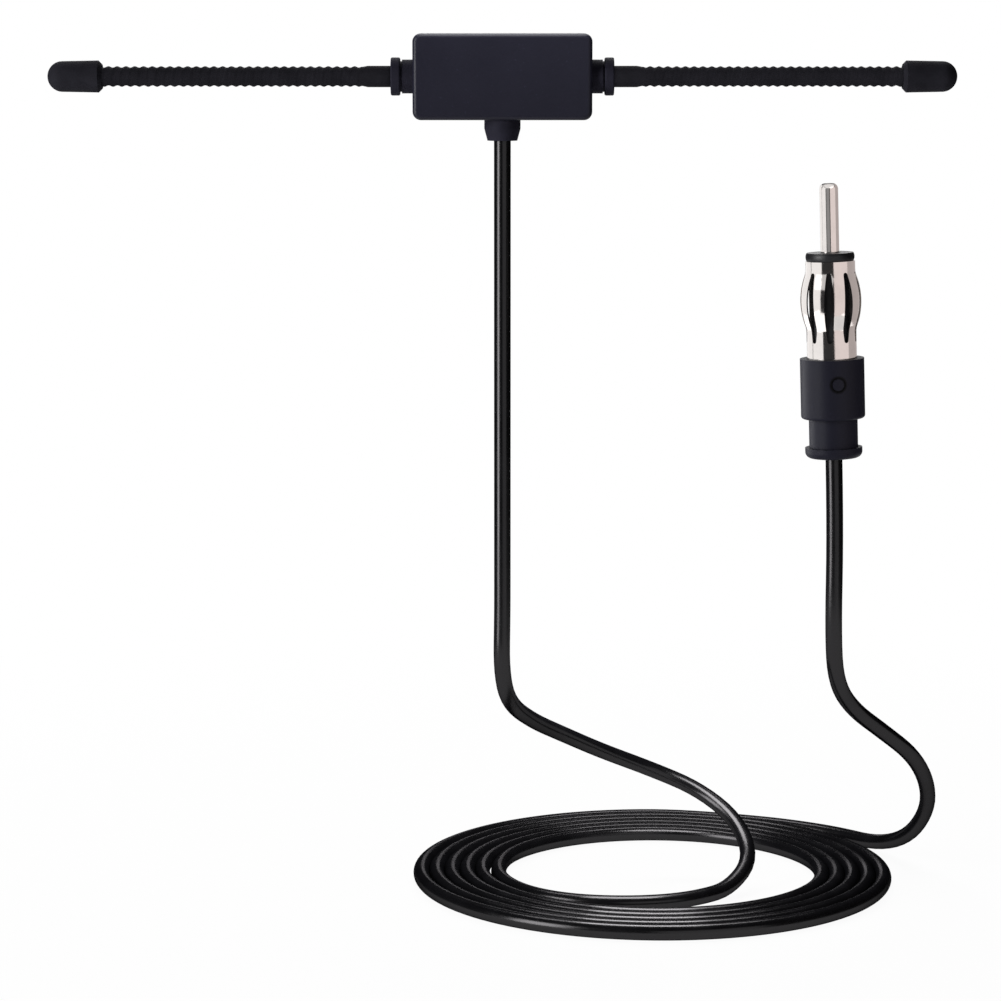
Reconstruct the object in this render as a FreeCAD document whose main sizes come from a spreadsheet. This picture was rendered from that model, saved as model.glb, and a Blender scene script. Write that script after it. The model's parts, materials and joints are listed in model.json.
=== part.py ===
"""Windshield radio antenna: a two-arm dipole on a stick-on housing, with a coaxial lead and aerial plug.

Frame: +X along the right arm, +Y through the adhesive face into the glass, +Z up.
The origin is the middle of the adhesive pad's outer face. Millimetres.
"""
import FreeCAD, Part
import math
import os
import re
import Sketcher

Vector = FreeCAD.Vector

# Driving dimensions, one cell each. Lengths in millimetres, angles in degrees, counts whole.
SIZES = {
    # clearance between pieces that fit into one another
    "fit_gap": 0.1,
    # housing
    "housing_width": 34.0,
    "housing_height": 16.3,
    "housing_depth": 9.4,
    "housing_corner": 1.6,
    "face_round": 0.9,
    "back_round": 0.6,
    "wall": 1.3,
    "lip_height": 0.8,
    "lip_thickness": 0.5,
    "seam_chamfer": 0.15,
    # adhesive pad
    "pad_width": 28.0,
    "pad_height": 11.0,
    "pad_thickness": 1.1,
    "pad_recess": 0.3,
    "pad_corner": 1.5,
    # circuit board and its posts
    "board_side_gap": 2.7,
    "board_end_gap": 1.95,
    "board_thickness": 1.0,
    "post_inset": 1.3,
    "post_radius": 1.0,
    "peg_radius": 0.5,
    "peg_rise": 0.4,
    # parts on the board
    "lug_inset": 3.2,
    "lug_length": 3.2,
    "lug_height": 2.6,
    "lug_floor": 0.5,
    "lug_roof": 0.4,
    "balun_lift": 1.9,
    "balun_outer_radius": 2.6,
    "balun_inner_radius": 1.2,
    "balun_height": 2.0,
    "winding_thickness": 0.3,
    "winding_angle": 230.0,
    "chip_length": 2.0,
    "chip_width": 1.25,
    "chip_height": 0.9,
    "chip_across": 5.6,
    "chip_up": 3.0,
    # glands of the arms and of the lead
    "gland_groove_radius": 2.55,
    "gland_flange_radius": 3.1,
    "gland_flange_length": 1.2,
    "neck_radius": 3.2,
    "neck_length": 2.4,
    "neck_relief_width": 0.35,
    "neck_relief_depth": 0.3,
    "collar_radius": 3.6,
    "collar_length": 1.8,
    "collar_round": 0.3,
    "strain_radius": 3.45,
    "strain_straight": 1.7,
    "strain_length": 3.95,
    "strain_mouth_radius": 2.85,
    "strain_round": 1.5,
    # arms
    "conductor_radius": 0.8,
    "conductor_overhang": 1.0,
    "sheath_radius": 2.02,
    "sheath_core_radius": 1.45,
    "sheath_tail": 0.6,
    "plain_length": 5.2,
    "rib_count": 33,
    "rib_pitch": 1.67,
    "rib_crest_radius": 1.96,
    "rib_valley_radius": 1.68,
    "cap_radius": 3.03,
    "cap_nose_radius": 2.9,
    "cap_length": 10.4,
    "cap_nose_length": 2.8,
    "cap_grip": 5.5,
    "cap_chamfer": 0.7,
    # coaxial lead
    "cable_radius": 1.6,
    "dielectric_radius": 0.85,
    "core_wire_radius": 0.3,
    "braid_radius": 0.35,
    "braid_offset": 1.2,
    "jacket_tail": 0.3,
    "strip_length": 1.6,
    "wire_rise": 1.3,
    "floor_drop": 167.0,
    "coil_across": 32.0,
    "coil_back": 36.0,
    "coil_full_turns": 5,
    # aerial plug, standing on the end of the lead
    "plug_across": 62.8,
    "plug_forward": 12.0,
    "plug_drop": 71.4,
    "plug_lean": 1.9,
    "flange_radius": 5.4,
    "flange_length": 2.0,
    "flange_dome": 1.2,
    "boot_neck_radius": 4.6,
    "boot_neck_length": 5.5,
    "boot_radius": 6.05,
    "boot_body_length": 11.4,
    "boot_round": 0.6,
    "boot_grip": 8.0,
    "mark_turn": 5.2,
    "mark_drop": 4.55,
    "mark_radius": 1.37,
    "mark_width": 0.25,
    "mark_depth": 0.3,
    "sleeve_radius": 4.68,
    "sleeve_wall": 0.35,
    "sleeve_rise": 18.35,
    "bulge_radius": 5.72,
    "bulge_rise": 10.85,
    "bulge_half": 5.9,
    "bulge_share": 0.22,
    "slot_low": 3.1,
    "slot_high": 16.3,
    "slot_end_width": 0.95,
    "slot_middle_width": 1.8,
    "slot_count": 9,
    "slot_turn": -9.0,
    "disc_radius": 4.6,
    "disc_round": 0.2,
    "disc_thickness": 1.55,
    "spigot_length": 1.8,
    "stem_gap": 0.25,
    "pin_radius": 1.76,
    "pin_shank_radius": 1.2,
    "pin_rise": 13.0,
    "pin_tip_round": 1.1,
    "pin_dimple_radius": 0.4,
    "pin_dimple_depth": 0.4,
    "pin_head_radius": 2.2,
    "pin_head_length": 1.0,
    "pin_bore_depth": 4.0,
    "ferrule_radius": 2.4,
    "ferrule_length": 6.0,
    "ferrule_flange": 1.5,
}

# Places worked out from the sizes, as expressions on the cells.
AXIS_Y = "-(pad_thickness - pad_recess + housing_depth / 2)"
SIDE = "housing_width / 2"
INNER_SIDE = "(housing_width / 2 - wall)"
BOTTOM = "-housing_height / 2"
INNER_BOTTOM = "(-housing_height / 2 + wall)"
HALF_DEPTH = "housing_depth / 2"
FLOOR = "(housing_depth / 2 - wall)"
BOARD = "(conductor_radius + lug_floor)"
BOARD_SIDE = "(housing_width / 2 - wall - board_side_gap)"
BOARD_END = "(housing_height / 2 - wall - board_end_gap)"
POST_ACROSS = f"({BOARD_SIDE} - post_inset)"
POST_UP = f"({BOARD_END} - post_inset)"
LUG_ACROSS = f"({BOARD_SIDE} - lug_inset)"
GLAND_BORE = "(sheath_radius + fit_gap)"
COLLAR = "(housing_width / 2 + neck_length)"
PLAIN_END = "(housing_width / 2 + neck_length + collar_length + plain_length)"
RIB_DEPTH = "(rib_crest_radius - rib_valley_radius)"
RIB_HALF = f"(rib_pitch / 2 * (rib_crest_radius - sheath_core_radius) / {RIB_DEPTH})"
SHEATH_END = f"({PLAIN_END} + rib_count * rib_pitch + {RIB_HALF} - rib_pitch / 2)"
CONDUCTOR_END = f"({SHEATH_END} + conductor_overhang)"
CAP_MOUTH = f"({PLAIN_END} + rib_count * rib_pitch - cap_grip)"
GLAND_TOP = f"({INNER_BOTTOM} + gland_flange_length)"
STRAIN_MOUTH = "(-housing_height / 2 - strain_length)"
JACKET_END = f"({GLAND_TOP} + jacket_tail)"
STRIP_END = f"({JACKET_END} + strip_length)"
CABLE_BORE = "(cable_radius + fit_gap)"
PLUG_Y = f"{AXIS_Y} - plug_forward"
SHOULDER = "(flange_length + boot_neck_length)"
BOOT_TOP = f"({SHOULDER} + boot_body_length)"
SEAT = f"({BOOT_TOP} - boot_grip)"
SLEEVE_TOP = f"({BOOT_TOP} + sleeve_rise)"
SLEEVE_BORE = "(sleeve_radius - sleeve_wall)"
STEM_END = f"({BOOT_TOP} + slot_low)"
PIN_TAIL = f"({STEM_END} - pin_head_length)"
PIN_BASE = f"({SLEEVE_TOP} + disc_thickness)"
FERRULE_TOP = f"({SEAT} + ferrule_flange)"

doc = FreeCAD.newDocument("windshield_antenna")
sheet = doc.addObject("Spreadsheet::Sheet", "sizes")
for row, (alias, figure) in enumerate(SIZES.items(), start=1):
    sheet.set(f"A{row}", alias)
    sheet.set(f"B{row}", str(figure))
    sheet.setAlias(f"B{row}", alias)
doc.recompute()

nodes = []


def cells(text):
    """An expression in which each size points at its cell."""
    return re.sub(r"[a-z][a-z_]*", lambda word: "sizes." + word[0] if word[0] in SIZES else word[0], text)


def number(text):
    """The present value of an expression on the sizes."""
    return float(sheet.evalExpression(cells(text)))


def bind(item, name, text):
    """Ties a property to an expression on the sizes."""
    item.setExpression(name, cells(text))


def place(item, x="0", y=AXIS_Y, z="0"):
    """Ties an object's position to the sizes."""
    for axis, text in zip("xyz", (x, y, z)):
        bind(item, "Placement.Base." + axis, text)


def node(item, label):
    """Names a finished sub-part."""
    item.Label = label
    nodes.append(item)
    return item


def new_body(label, x="0", y=AXIS_Y, z="0", turned=0.0):
    """A body on the arm axis, turned about the vertical: half round for the left arm."""
    body = node(doc.addObject("PartDesign::Body", label), label)
    body.Placement = FreeCAD.Placement(Vector(), FreeCAD.Rotation(Vector(0, 0, 1), turned))
    place(body, x, y, z)
    return body


def new_plug_body(label, turned="0"):
    """A body on the plug's leaning axis, measured up from the foot of the plug."""
    body = node(doc.addObject("PartDesign::Body", label), label)
    foot = f"create(<<vector>>; plug_across; {PLUG_Y}; -plug_drop)"
    lean = "create(<<rotation>>; create(<<vector>>; 0; -1; 0); plug_lean)"
    twist = f"create(<<rotation>>; create(<<vector>>; 0; 0; 1); {turned})"
    bind(body, "Placement", f"create(<<placement>>; {foot}; {lean} * {twist})")
    return body


def arm_turn(side):
    """How far an arm's body is turned: the left arm points the other way."""
    return 180.0 if side < 0 else 0.0


def origin(body, role):
    """One of a body's own origin planes or axes."""
    return next(item for item in body.Origin.OriginFeatures if item.Role == role)


def pin_point(sketch, index, end, x, y):
    """Fixes one point of a sketch by two dimensions from its origin."""
    for kind, text in (("DistanceX", x), ("DistanceY", y)):
        dimension = sketch.addConstraint(Sketcher.Constraint(kind, -1, 1, index, end, number(text)))
        bind(sketch, f"Constraints[{dimension}]", text)


def add_circle(sketch, x, y, radius):
    """A circle with its centre and radius dimensioned."""
    shape = Part.Circle(Vector(number(x), number(y), 0), Vector(0, 0, 1), number(radius))
    index = sketch.addGeometry(shape, False)
    pin_point(sketch, index, 3, x, y)
    dimension = sketch.addConstraint(Sketcher.Constraint("Radius", index, number(radius)))
    bind(sketch, f"Constraints[{dimension}]", radius)


def add_outline(sketch, points):
    """A closed outline. A point (x, y, through) starts an arc that passes the point through."""
    spots = [Vector(number(point[0]), number(point[1]), 0) for point in points]
    edges = []
    for place_in_list, point in enumerate(points):
        start = spots[place_in_list]
        finish = spots[(place_in_list + 1) % len(points)]
        if len(point) == 2:
            edges.append((sketch.addGeometry(Part.LineSegment(start, finish), False), 1, 2))
            continue
        through_x, through_y = point[2]
        middle = Vector(number(through_x), number(through_y), 0)
        forward = (middle - start).cross(finish - middle).z > 0
        ends = (start, finish) if forward else (finish, start)
        arc = sketch.addGeometry(Part.Arc(ends[0], middle, ends[1]), False)
        edges.append((arc, 1, 2) if forward else (arc, 2, 1))
        marker = sketch.addGeometry(Part.Point(middle), True)
        sketch.addConstraint(Sketcher.Constraint("PointOnObject", marker, 1, arc))
        pin_point(sketch, marker, 1, through_x, through_y)
    for (index, _, end), (following, first, _) in zip(edges, edges[1:] + edges[:1]):
        sketch.addConstraint(Sketcher.Constraint("Coincident", index, end, following, first))
    for (index, first, _), point in zip(edges, points):
        pin_point(sketch, index, first, point[0], point[1])


def new_sketch(body, name, role, outlines=(), circles=(), lift=None):
    """A sketch on one of the body's planes, raised along its normal by lift."""
    sketch = body.newObject("Sketcher::SketchObject", name)
    sketch.AttachmentSupport = [(origin(body, role), "")]
    sketch.MapMode = "FlatFace"
    if lift:
        bind(sketch, "AttachmentOffset.Base.z", lift)
    for points in outlines:
        add_outline(sketch, points)
    for x, y, radius in circles:
        add_circle(sketch, x, y, radius)
    doc.recompute()
    return sketch


def rectangle(half_width, half_height):
    """The four corners of a centred rectangle."""
    left, low = f"-({half_width})", f"-({half_height})"
    return [(left, low), (half_width, low), (half_width, half_height), (left, half_height)]


def pad(body, name, sketch, length, backwards=False):
    """Adds material along the sketch's normal, or against it."""
    feature = body.newObject("PartDesign::Pad", name)
    feature.Profile = sketch
    feature.Reversed = backwards
    bind(feature, "Length", length)
    doc.recompute()
    return feature


def pocket(body, name, sketch, length=None, forwards=False, both=False):
    """Cuts against the sketch's normal, or along it, to a depth or right through."""
    before = body.Shape.Volume
    feature = body.newObject("PartDesign::Pocket", name)
    feature.Profile = sketch
    feature.Reversed = forwards
    if length:
        bind(feature, "Length", length)
    else:
        feature.Type = "ThroughAll"
    if both:
        feature.SideType = "Symmetric"
    doc.recompute()
    if body.Shape.Volume >= before:
        raise RuntimeError(f"{body.Label}: {name} cuts nothing")
    return feature


def turn(body, name, sketch, axis, angle=None):
    """Revolves a sketch about one of the body's axes."""
    feature = body.newObject("PartDesign::Revolution", name)
    feature.Profile = sketch
    feature.ReferenceAxis = (origin(body, axis), [""])
    feature.Angle = 360
    if angle:
        bind(feature, "Angle", angle)
    doc.recompute()
    return feature


def dress_edges(body, name, kind, size_name, size, chosen):
    """Adds a fillet or a chamfer on the edges of the body's last feature that pass the test chosen."""
    base = body.Tip
    names = [f"Edge{count}" for count, edge in enumerate(base.Shape.Edges, start=1) if chosen(edge)]
    if not names:
        raise RuntimeError(f"{body.Label}: {name} finds no edge")
    feature = body.newObject(kind, name)
    feature.Base = (base, names)
    bind(feature, size_name, size)
    doc.recompute()


def round_edges(body, name, radius, chosen):
    """Rounds the chosen edges."""
    dress_edges(body, name, "PartDesign::Fillet", "Radius", radius, chosen)


def chamfer_edges(body, name, size, chosen):
    """Breaks the chosen edges."""
    dress_edges(body, name, "PartDesign::Chamfer", "Size", size, chosen)


def along_depth(edge):
    """True for a straight edge that runs front to back."""
    return abs(edge.BoundBox.YLength - edge.Length) < 1e-6


def in_depth_plane(depth):
    """A test for edges that lie flat at one depth."""
    return lambda edge: edge.BoundBox.YLength < 1e-6 and abs(edge.BoundBox.YMin - depth) < 1e-6


def circle_at(radius, axis, position):
    """A test for circular edges of one radius at one place along an axis."""
    def chosen(edge):
        if not isinstance(edge.Curve, Part.Circle):
            return False
        same_size = abs(edge.Curve.Radius - radius) < 1e-6
        return same_size and abs(getattr(edge.Curve.Center, axis) - position) < 1e-6
    return chosen


def cut_gland_holes(body):
    """The round openings that the two arm glands and the cable gland sit in, shared by both halves."""
    hole = "gland_groove_radius + fit_gap"
    across = new_sketch(body, "arm_circle", "YZ_Plane", circles=[("0", "0", hole)])
    pocket(body, "arm_holes", across, both=True)
    down = new_sketch(body, "cable_circle", "XY_Plane", circles=[("0", "0", hole)])
    pocket(body, "cable_hole", down)


def cavity_outline(extra="0"):
    """The rectangle inside the housing walls, widened by extra."""
    return rectangle(f"housing_width / 2 - wall + {extra}", f"housing_height / 2 - wall + {extra}")


def make_front_cover():
    """Front half of the housing, with a rebate for the rear half's lip."""
    body = new_body("front_cover")
    outline = new_sketch(body, "outline", "XZ_Plane", [rectangle(SIDE, "housing_height / 2")])
    pad(body, "block", outline, HALF_DEPTH)
    round_edges(body, "corners", "housing_corner", along_depth)
    round_edges(body, "face_edges", "face_round", in_depth_plane(-number(HALF_DEPTH)))
    chamfer_edges(body, "seam", "seam_chamfer", in_depth_plane(0.0))
    pocket(body, "cavity", new_sketch(body, "inside", "XZ_Plane", [cavity_outline()]), FLOOR, forwards=True)
    seat = new_sketch(body, "lip_outline", "XZ_Plane", [cavity_outline("lip_thickness + fit_gap")])
    pocket(body, "lip_seat", seat, "lip_height + fit_gap", forwards=True)
    cut_gland_holes(body)


def make_rear_cover():
    """Rear half of the housing, with its lip, the board's posts and the recess for the pad."""
    body = new_body("rear_cover")
    outline = new_sketch(body, "outline", "XZ_Plane", [rectangle(SIDE, "housing_height / 2")])
    pad(body, "block", outline, HALF_DEPTH, backwards=True)
    round_edges(body, "corners", "housing_corner", along_depth)
    round_edges(body, "back_edges", "back_round", in_depth_plane(number(HALF_DEPTH)))
    chamfer_edges(body, "seam", "seam_chamfer", in_depth_plane(0.0))
    pocket(body, "cavity", new_sketch(body, "inside", "XZ_Plane", [cavity_outline()]), FLOOR)
    ring = new_sketch(body, "lip_ring", "XZ_Plane", [cavity_outline("lip_thickness"), cavity_outline()])
    pad(body, "lip", ring, "lip_height")
    cut_gland_holes(body)
    corners = [(f"{side} * {POST_ACROSS}", f"{level} * {POST_UP}") for side in (-1, 1) for level in (-1, 1)]
    on_floor = f"-{FLOOR}"
    stand = f"{FLOOR} - {BOARD} - board_thickness"
    for name, radius, rise in (("posts", "post_radius", stand),
                               ("pegs", "peg_radius", f"{stand} + board_thickness + peg_rise")):
        rounds = [(*spot, radius) for spot in corners]
        feet = new_sketch(body, f"{name}_outline", "XZ_Plane", circles=rounds, lift=on_floor)
        pad(body, f"board_{name}", feet, rise)
    recess = rectangle("pad_width / 2 + fit_gap", "pad_height / 2 + fit_gap")
    recess_floor = f"pad_recess - {HALF_DEPTH}"
    pocket(body, "pad_seat", new_sketch(body, "pad_outline", "XZ_Plane", [recess], lift=recess_floor))


def make_adhesive_pad():
    """Foam tape whose outer face meets the glass."""
    body = new_body("adhesive_pad", y="0")
    outline = new_sketch(body, "outline", "XZ_Plane", [rectangle("pad_width / 2", "pad_height / 2")])
    pad(body, "foam", outline, "pad_thickness")
    round_edges(body, "corners", "pad_corner", along_depth)


def make_circuit_board():
    """Board on the four posts, with a hole for each peg."""
    body = new_body("circuit_board")
    holes = [(f"{side} * {POST_ACROSS}", f"{level} * {POST_UP}", "peg_radius + fit_gap")
             for side in (-1, 1) for level in (-1, 1)]
    edge = rectangle(BOARD_SIDE, BOARD_END)
    outline = new_sketch(body, "outline", "XZ_Plane", [edge], holes, lift=f"-{BOARD}")
    pad(body, "laminate", outline, "board_thickness", backwards=True)


def make_balun():
    """Ring core lying on the board inside its winding."""
    top = f"{BOARD} - winding_thickness - fit_gap - balun_height"
    base = f"{BOARD} - winding_thickness - fit_gap"
    core = new_body("balun_core", z="balun_lift")
    section = [("balun_inner_radius", top), ("balun_outer_radius", top),
               ("balun_outer_radius", base), ("balun_inner_radius", base)]
    turn(core, "ring", new_sketch(core, "section", "XY_Plane", [section]), "Y_Axis")
    winding = new_body("balun_winding", z="balun_lift")
    outlines = []
    for grow in ("(winding_thickness + fit_gap)", "fit_gap"):
        inner, outer = f"balun_inner_radius - {grow}", f"balun_outer_radius + {grow}"
        outlines.append([(inner, f"{top} - {grow}"), (outer, f"{top} - {grow}"),
                         (outer, f"{base} + {grow}"), (inner, f"{base} + {grow}")])
    turn(winding, "wrap", new_sketch(winding, "section", "XY_Plane", outlines), "Y_Axis", "winding_angle")


def make_chip_capacitors():
    """Small rectangular parts soldered to the front of the board."""
    chips = []
    for across, up in ((-1, -1), (1, -1), (1, 1)):
        chip = doc.addObject("Part::Box", "chip")
        bind(chip, "Length", "chip_length")
        bind(chip, "Width", "chip_height")
        bind(chip, "Height", "chip_width")
        place(chip, f"{across} * chip_across - chip_length / 2", f"{AXIS_Y} + {BOARD} - chip_height",
              f"{up} * chip_up - chip_width / 2")
        chips.append(chip)
    group = node(doc.addObject("Part::Compound", "chip_capacitors"), "chip_capacitors")
    group.Links = chips


def make_solder_lug(name, side):
    """Brass block on the board with a bore for the arm's conductor."""
    body = new_body(f"{name}_solder_lug", x=f"{side} * {LUG_ACROSS}")
    foot = rectangle("lug_length / 2", "lug_height / 2")
    outline = new_sketch(body, "outline", "XZ_Plane", [foot], lift=f"-{BOARD}")
    pad(body, "block", outline, f"{BOARD} + conductor_radius + lug_roof")
    bore = new_sketch(body, "bore_circle", "YZ_Plane", circles=[("0", "0", "conductor_radius + fit_gap")])
    pocket(body, "bore", bore, both=True)


def make_arm_gland(name, side):
    """Rubber gland clamped by the two housing halves, with a neck and a collar outside."""
    body = new_body(f"{name}_arm_gland", turned=arm_turn(side))
    relief = "neck_radius - neck_relief_depth"
    profile = [
        (f"{INNER_SIDE} - gland_flange_length", GLAND_BORE),
        (f"{INNER_SIDE} - gland_flange_length", "gland_flange_radius"),
        (INNER_SIDE, "gland_flange_radius"),
        (INNER_SIDE, "gland_groove_radius"),
        (SIDE, "gland_groove_radius"),
        (SIDE, "neck_radius"),
        (f"{COLLAR} - neck_relief_width", "neck_radius"),
        (f"{COLLAR} - neck_relief_width", relief),
        (COLLAR, relief),
        (COLLAR, "collar_radius"),
        (f"{COLLAR} + collar_length", "collar_radius"),
        (f"{COLLAR} + collar_length", GLAND_BORE),
    ]
    turn(body, "moulding", new_sketch(body, "profile", "XY_Plane", [profile]), "X_Axis")
    collar_edges = [circle_at(number("collar_radius"), "x", number(spot))
                    for spot in (COLLAR, f"{COLLAR} + collar_length")]
    round_edges(body, "collar_edges", "collar_round", lambda edge: any(test(edge) for test in collar_edges))


def make_arm_sheath(name, side):
    """Flexible sheath: a plain root through the gland, then ribs along the arm into the cap."""
    body = new_body(f"{name}_arm_sheath", turned=arm_turn(side))
    bore = "conductor_radius + fit_gap"
    inner_end = f"{INNER_SIDE} - gland_flange_length - sheath_tail"
    profile = [
        (inner_end, bore),
        (SHEATH_END, bore),
        (SHEATH_END, "sheath_core_radius"),
        (PLAIN_END, "sheath_core_radius"),
        (PLAIN_END, "sheath_radius"),
        (inner_end, "sheath_radius"),
    ]
    turn(body, "tube", new_sketch(body, "profile", "XY_Plane", [profile]), "X_Axis")
    middle = f"{PLAIN_END} + rib_pitch / 2"
    ridge = [
        (f"{middle} - {RIB_HALF}", "sheath_core_radius"),
        (f"{middle} + {RIB_HALF}", "sheath_core_radius"),
        (middle, "rib_crest_radius"),
    ]
    rib = turn(body, "rib", new_sketch(body, "ridge", "XY_Plane", [ridge]), "X_Axis")
    ribs = body.newObject("PartDesign::LinearPattern", "ribs")
    ribs.Originals = [rib]
    ribs.Direction = (origin(body, "X_Axis"), [""])
    bind(ribs, "Length", "(rib_count - 1) * rib_pitch")
    bind(ribs, "Occurrences", "rib_count")
    body.Tip = ribs
    doc.recompute()


def make_arm_conductor(name, side):
    """Bendable wire from the solder lug to the inside of the cap."""
    wire = node(doc.addObject("Part::Cylinder", f"{name}_arm_conductor"), f"{name}_arm_conductor")
    start = f"({LUG_ACROSS} - lug_length / 2)"
    wire.Placement = FreeCAD.Placement(Vector(), FreeCAD.Rotation(Vector(0, 1, 0), 90 * side))
    bind(wire, "Radius", "conductor_radius")
    bind(wire, "Height", f"{CONDUCTOR_END} - {start}")
    place(wire, x=f"{side} * {start}")


def make_end_cap(name, side):
    """Round-nosed cap that the ribbed end of the arm pushes into."""
    body = new_body(f"{name}_end_cap", turned=arm_turn(side))
    bore = "rib_crest_radius + fit_gap"
    bore_end = f"{CONDUCTOR_END} + fit_gap"
    tip = f"{CAP_MOUTH} + cap_length"
    nose = f"{tip} - cap_nose_length"
    half_way = math.sqrt(0.5)
    over_nose = (f"{nose} + cap_nose_length * {half_way}", f"cap_nose_radius * {half_way}")
    profile = [
        (CAP_MOUTH, bore),
        (CAP_MOUTH, "cap_radius - cap_chamfer"),
        (f"{CAP_MOUTH} + cap_chamfer", "cap_radius"),
        (nose, "cap_nose_radius", over_nose),
        (tip, "0"),
        (bore_end, "0"),
        (bore_end, bore),
    ]
    turn(body, "moulding", new_sketch(body, "profile", "XY_Plane", [profile]), "X_Axis")


def make_cable_gland():
    """Short tapered strain relief under the housing, clamped like the arm glands."""
    body = new_body("cable_gland")
    taper_start = f"{BOTTOM} - strain_straight"
    profile = [
        (CABLE_BORE, GLAND_TOP),
        ("gland_flange_radius", GLAND_TOP),
        ("gland_flange_radius", INNER_BOTTOM),
        ("gland_groove_radius", INNER_BOTTOM),
        ("gland_groove_radius", BOTTOM),
        ("strain_radius", BOTTOM),
        ("strain_radius", taper_start),
        ("strain_mouth_radius", STRAIN_MOUTH),
        (CABLE_BORE, STRAIN_MOUTH),
    ]
    turn(body, "moulding", new_sketch(body, "profile", "XZ_Plane", [profile]), "Z_Axis")
    round_edges(body, "taper", "strain_round", circle_at(number("strain_radius"), "z", number(taper_start)))


def make_cable_tail():
    """End of the lead in the cable gland: jacket, then bare dielectric."""
    body = new_body("cable_tail")
    profile = [("0", STRAIN_MOUTH), ("cable_radius", STRAIN_MOUTH), ("cable_radius", JACKET_END),
               ("dielectric_radius", JACKET_END), ("dielectric_radius", STRIP_END), ("0", STRIP_END)]
    turn(body, "stripped_end", new_sketch(body, "profile", "XZ_Plane", [profile]), "Z_Axis")


def make_plug_boot():
    """Moulded grip of the plug: flange, neck and body, with sockets for the sleeve, ferrule and lead."""
    body = new_plug_body("plug_boot", "mark_turn")
    ferrule_bore = "ferrule_radius + fit_gap"
    ferrule_floor = f"{SEAT} - ferrule_length"
    socket = "sleeve_radius + fit_gap"
    half_way = math.sqrt(0.5)
    over_dome = (f"flange_radius - flange_dome + flange_dome * {half_way}",
                 f"flange_dome - flange_dome * {half_way}")
    profile = [
        (CABLE_BORE, "0"),
        ("flange_radius - flange_dome", "0", over_dome),
        ("flange_radius", "flange_dome"),
        ("flange_radius", "flange_length"),
        ("boot_neck_radius", "flange_length"),
        ("boot_neck_radius", SHOULDER),
        ("boot_radius", SHOULDER),
        ("boot_radius", BOOT_TOP),
        (socket, BOOT_TOP),
        (socket, SEAT),
        (ferrule_bore, SEAT),
        (ferrule_bore, ferrule_floor),
        (CABLE_BORE, ferrule_floor),
    ]
    turn(body, "moulding", new_sketch(body, "profile", "XZ_Plane", [profile]), "Z_Axis")
    round_edges(body, "shoulder", "boot_round", circle_at(number("boot_radius"), "z", number(SHOULDER)))
    spot = ("0", f"{BOOT_TOP} - mark_drop")
    ring = new_sketch(body, "mark_ring", "XZ_Plane", lift="boot_radius - mark_depth",
                      circles=[(*spot, "mark_radius"), (*spot, "mark_radius - mark_width")])
    pocket(body, "ring_mark", ring, forwards=True)


def sleeve_bulge(middle, skin, start, finish):
    """Points of the bulge on a skin of the sleeve: a hollow arc, the round of the bulge, a hollow arc."""
    edge = f"sleeve_radius - {skin}"
    swell = "(bulge_radius - sleeve_radius) * bulge_share"
    hollow = f"{edge} + {swell} / 4"
    blend = "bulge_half * (1 - bulge_share / 2)"
    bend = "bulge_half * (1 - bulge_share)"
    return [
        (edge, f"{middle} {start} bulge_half", (hollow, f"{middle} {start} {blend}")),
        (f"{edge} + {swell}", f"{middle} {start} {bend}", (f"bulge_radius - {skin}", middle)),
        (f"{edge} + {swell}", f"{middle} {finish} {bend}", (hollow, f"{middle} {finish} {blend}")),
        (edge, f"{middle} {finish} bulge_half"),
    ]


def make_plug_sleeve():
    """Spring sleeve: a thin tube with a bulge, slit all round so that it grips its socket."""
    body = new_plug_body("plug_sleeve", "slot_turn")
    middle = f"{BOOT_TOP} + bulge_rise"
    profile = [
        (SLEEVE_BORE, SEAT),
        ("sleeve_radius", SEAT),
        *sleeve_bulge(middle, "0", "-", "+"),
        ("sleeve_radius", SLEEVE_TOP),
        (SLEEVE_BORE, SLEEVE_TOP),
        *sleeve_bulge(middle, "sleeve_wall", "+", "-"),
    ]
    turn(body, "tube", new_sketch(body, "profile", "XZ_Plane", [profile]), "Z_Axis")
    slot_low, slot_high = f"{BOOT_TOP} + slot_low", f"{BOOT_TOP} + slot_high"
    low_end, high_end = f"{slot_low} + slot_end_width / 2", f"{slot_high} - slot_end_width / 2"
    slot_outline = [
        ("-slot_end_width / 2", low_end, ("0", slot_low)),
        ("slot_end_width / 2", low_end, ("slot_middle_width / 2", middle)),
        ("slot_end_width / 2", high_end, ("0", slot_high)),
        ("-slot_end_width / 2", high_end, ("-slot_middle_width / 2", middle)),
    ]
    slot = pocket(body, "slot", new_sketch(body, "slot_outline", "XZ_Plane", [slot_outline]), forwards=True)
    slots = body.newObject("PartDesign::PolarPattern", "slots")
    slots.Originals = [slot]
    slots.Axis = (origin(body, "Z_Axis"), [""])
    slots.Angle = 360
    bind(slots, "Occurrences", "slot_count")
    body.Tip = slots
    doc.recompute()


def make_plug_insulator():
    """Round-edged disc on the sleeve's rim, with a spigot and a stem inside the sleeve."""
    body = new_plug_body("plug_insulator")
    bore = "pin_shank_radius + fit_gap"
    spigot = f"{SLEEVE_BORE} - fit_gap"
    stem = f"{SLEEVE_BORE} - stem_gap"
    flat = "disc_radius - disc_round"
    over_rim = ("disc_radius", f"{SLEEVE_TOP} + disc_thickness / 2")
    profile = [
        (bore, STEM_END),
        (stem, STEM_END),
        (stem, f"{SLEEVE_TOP} - spigot_length"),
        (spigot, f"{SLEEVE_TOP} - spigot_length"),
        (spigot, SLEEVE_TOP),
        (flat, SLEEVE_TOP, over_rim),
        (flat, PIN_BASE),
        (bore, PIN_BASE),
    ]
    turn(body, "moulding", new_sketch(body, "profile", "XZ_Plane", [profile]), "Z_Axis")


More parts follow.
